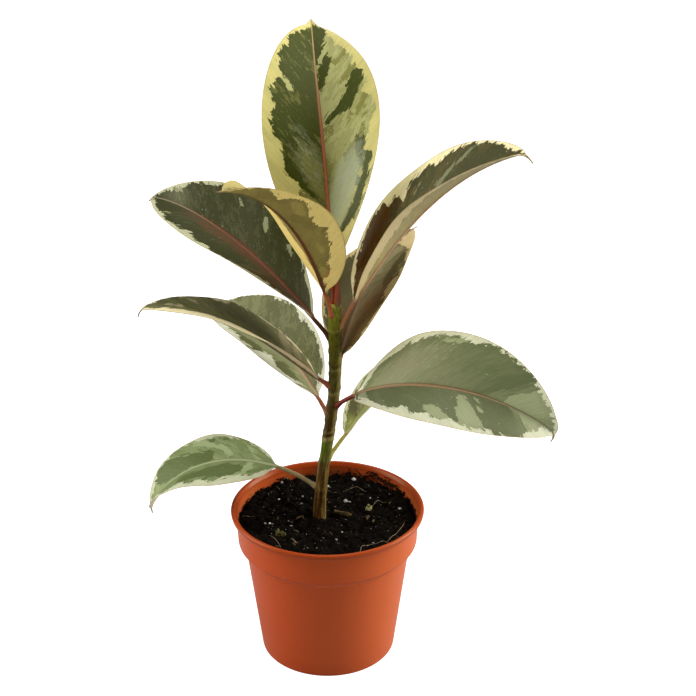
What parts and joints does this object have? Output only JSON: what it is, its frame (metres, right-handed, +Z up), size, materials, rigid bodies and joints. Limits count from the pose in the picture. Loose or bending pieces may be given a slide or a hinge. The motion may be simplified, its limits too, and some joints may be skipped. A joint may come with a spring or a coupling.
{
  "type": "potted rubber plant",
  "caption": "Young variegated rubber plant with broad glossy leaves on one woody stem, in a tapered plastic nursery pot of dark peat soil",
  "frame": {"origin": "centre of the pot's underside, on the surface it stands on", "axes": "+Z up along the pot's axis; the top leaf shows its upper side towards -Y; +X to the right seen from there"},
  "size_m": [0.2454, 0.1803, 0.3824],
  "materials": {
    "pot_plastic": "terracotta-coloured moulded plastic, satin, faint mould lines",
    "peat": "dark moist peat with lumps, white grains and fibres",
    "bark_chip": "rough brown bark",
    "stem_bark": "olive green bark turning brown and ridged near the soil, ringed at the nodes",
    "bud_skin": "smooth red sheath",
    "leaf_blade": "leathery, glossy above and matte below, dark green and grey-green patches with a cream margin"
  },
  "bodies": {
    "root": {"pot": "pot_plastic", "soil": "peat", "bark_sliver": "bark_chip", "stem": "stem_bark", "bud_sheath": "bud_skin", "leaf_01": "leaf_blade", "leaf_02": "leaf_blade", "leaf_03": "leaf_blade", "leaf_04": "leaf_blade", "leaf_05": "leaf_blade", "leaf_06": "leaf_blade", "leaf_07": "leaf_blade", "leaf_08": "leaf_blade", "leaf_09": "leaf_blade", "leaf_10": "leaf_blade"}
  },
  "joints": []
}
